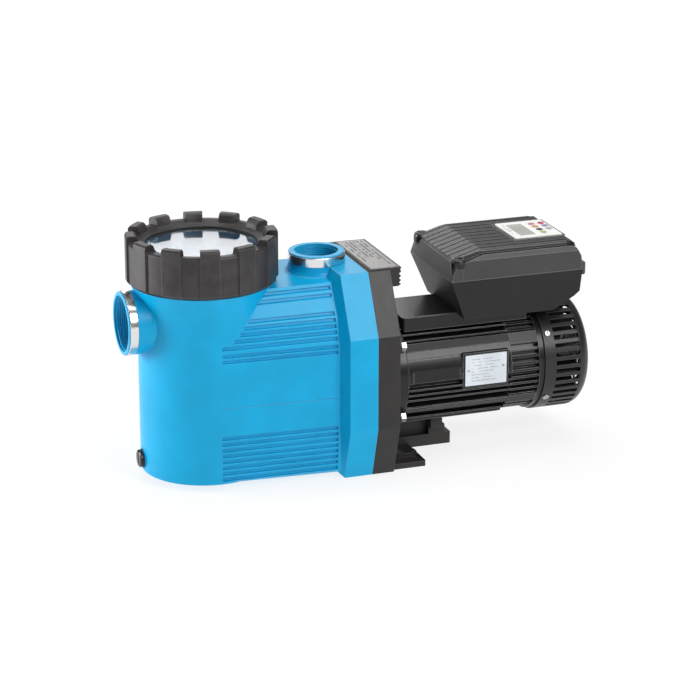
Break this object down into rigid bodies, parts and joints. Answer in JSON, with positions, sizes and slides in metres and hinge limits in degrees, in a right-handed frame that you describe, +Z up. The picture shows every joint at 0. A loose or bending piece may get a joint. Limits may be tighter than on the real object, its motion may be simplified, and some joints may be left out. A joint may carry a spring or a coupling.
{
  "type": "pool pump",
  "caption": "Self-priming pool pump: strainer tank with clear screw-ring lid, threaded ports, side-ribbed plastic casing, finned motor and speed-controller box on top.",
  "frame": {"origin": "centre of the pump's bounding box, on the floor it stands on", "axes": "+X along the shaft from the suction port to the fan cover, +Z up, so the discharge port faces +Z and the suction port faces -X"},
  "size_m": [0.653, 0.236, 0.339],
  "materials": {
    "housing_blue": "moulded, faint grain",
    "ring_brown": "moulded, satin",
    "port_steel": "turned stainless",
    "lid_clear": "clear polycarbonate",
    "seal_rubber": "moulded rubber",
    "basket_white": "moulded",
    "plug_black": "moulded",
    "adaptor_black": "moulded, satin",
    "hydraulic_plastic": "moulded",
    "seal_ceramic": "lapped",
    "seal_carbon": "carbon face in a rubber bellows",
    "fastener_steel": "zinc plated",
    "shaft_steel": "ground",
    "bearing_steel": "polished",
    "motor_black": "black gloss paint on cast aluminium",
    "lamination_steel": "stacked electrical steel",
    "winding_copper": "varnished copper",
    "fan_plastic": "moulded",
    "fan_cover_black": "moulded, satin",
    "nameplate_metal": "printed aluminium",
    "rating_metal": "printed aluminium",
    "inverter_dark": "fine-grained moulding",
    "inverter_base_dark": "powder-coated casting",
    "board_green": "solder mask",
    "label_light": "printed membrane",
    "display_grey": "liquid crystal window",
    "key_red": "moulded",
    "key_rose": "moulded",
    "key_orange": "moulded",
    "key_violet": "moulded",
    "key_dark": "moulded",
    "key_grey": "moulded",
    "key_olive": "moulded"
  },
  "bodies": {
    "pump": {"pump_housing": "housing_blue", "suction_insert": "housing_blue", "discharge_insert": "housing_blue", "suction_ring": "port_steel", "discharge_ring": "port_steel", "casing_gasket": "seal_rubber", "diffuser_seal": "seal_rubber", "inverter_gasket": "seal_rubber", "cable_gland": "plug_black", "adaptor": "adaptor_black", "support_foot": "adaptor_black", "diffuser": "hydraulic_plastic", "seal_seat": "seal_ceramic", "adaptor_screws": "fastener_steel", "shield_bolts": "fastener_steel", "tie_rods": "fastener_steel", "fan_cover_screws": "fastener_steel", "plate_rivets": "fastener_steel", "inverter_screws": "fastener_steel", "front_bearing_outer": "bearing_steel", "rear_bearing_outer": "bearing_steel", "motor_frame": "motor_black", "drive_end_shield": "motor_black", "rear_end_shield": "motor_black", "inverter_bracket": "motor_black", "stator_core": "lamination_steel", "stator_windings": "winding_copper", "fan_cover": "fan_cover_black", "pump_nameplate": "nameplate_metal", "rating_plate": "rating_metal", "inverter_cover": "inverter_dark", "inverter_base": "inverter_base_dark", "control_board": "board_green", "keypad_panel": "label_light", "display_window": "display_grey"},
    "rotor": {"shaft": "shaft_steel", "impeller": "hydraulic_plastic", "impeller_nut": "fastener_steel", "seal_head": "seal_carbon", "rotor_core": "lamination_steel", "front_bearing_inner": "bearing_steel", "rear_bearing_inner": "bearing_steel", "bearing_balls": "bearing_steel", "cooling_fan": "fan_plastic", "fan_clip": "fastener_steel"},
    "lid": {"strainer_lid": "lid_clear", "lid_seal": "seal_rubber"},
    "ring": {"lid_ring": "ring_brown"},
    "basket": {"strainer_basket": "basket_white"},
    "tank_plug": {"tank_drain_plug": "plug_black", "tank_drain_seal": "seal_rubber"},
    "casing_plug": {"casing_drain_plug": "plug_black", "casing_drain_seal": "seal_rubber"},
    "key_red_body": {"key_red": "key_red"},
    "key_rose_body": {"key_rose": "key_rose"},
    "key_orange_body": {"key_orange": "key_orange"},
    "key_violet_body": {"key_violet": "key_violet"},
    "key_dark_body": {"key_dark": "key_dark"},
    "key_grey_body": {"key_grey": "key_grey"},
    "key_olive_body": {"key_olive": "key_olive"}
  },
  "joints": [
    {"name": "rotor_spin", "type": "hinge", "parent": "pump", "child": "rotor", "pos_m": [-0.0525, 0, 0.117], "axis": [1, 0, 0], "continuous": true},
    {"name": "lid_lift", "type": "slide", "parent": "pump", "child": "lid", "axis": [0, 0, 1], "range_m": [0, 0.42]},
    {"name": "ring_turn", "type": "hinge", "parent": "lid", "child": "ring", "pos_m": [-0.2135, 0, 0.295], "axis": [0, 0, 1], "range_deg": [0, 360]},
    {"name": "basket_lift", "type": "slide", "parent": "pump", "child": "basket", "axis": [0, 0, 1], "range_m": [0, 0.36]},
    {"name": "tank_plug_turn", "type": "hinge", "parent": "pump", "child": "tank_plug", "pos_m": [-0.3025, 0, 0.028], "axis": [-1, 0, 0], "continuous": true},
    {"name": "casing_plug_turn", "type": "hinge", "parent": "pump", "child": "casing_plug", "pos_m": [-0.0255, 0.112, 0.027], "axis": [0, 1, 0], "continuous": true},
    {"name": "key_red_press", "type": "slide", "parent": "pump", "child": "key_red_body", "axis": [0, 0, -1], "range_m": [0, 0.0006], "stiffness_N_per_m": 400, "springref_m": -0.0002},
    {"name": "key_rose_press", "type": "slide", "parent": "pump", "child": "key_rose_body", "axis": [0, 0, -1], "range_m": [0, 0.0006], "stiffness_N_per_m": 400, "springref_m": -0.0002},
    {"name": "key_orange_press", "type": "slide", "parent": "pump", "child": "key_orange_body", "axis": [0, 0, -1], "range_m": [0, 0.0006], "stiffness_N_per_m": 400, "springref_m": -0.0002},
    {"name": "key_violet_press", "type": "slide", "parent": "pump", "child": "key_violet_body", "axis": [0, 0, -1], "range_m": [0, 0.0006], "stiffness_N_per_m": 400, "springref_m": -0.0002},
    {"name": "key_dark_press", "type": "slide", "parent": "pump", "child": "key_dark_body", "axis": [0, 0, -1], "range_m": [0, 0.0006], "stiffness_N_per_m": 400, "springref_m": -0.0002},
    {"name": "key_grey_press", "type": "slide", "parent": "pump", "child": "key_grey_body", "axis": [0, 0, -1], "range_m": [0, 0.0006], "stiffness_N_per_m": 400, "springref_m": -0.0002},
    {"name": "key_olive_press", "type": "slide", "parent": "pump", "child": "key_olive_body", "axis": [0, 0, -1], "range_m": [0, 0.0006], "stiffness_N_per_m": 400, "springref_m": -0.0002}
  ],
  "couplings": [
    {"joint": "basket_lift", "follows": "lid_lift", "ratio": 0.85}
  ]
}
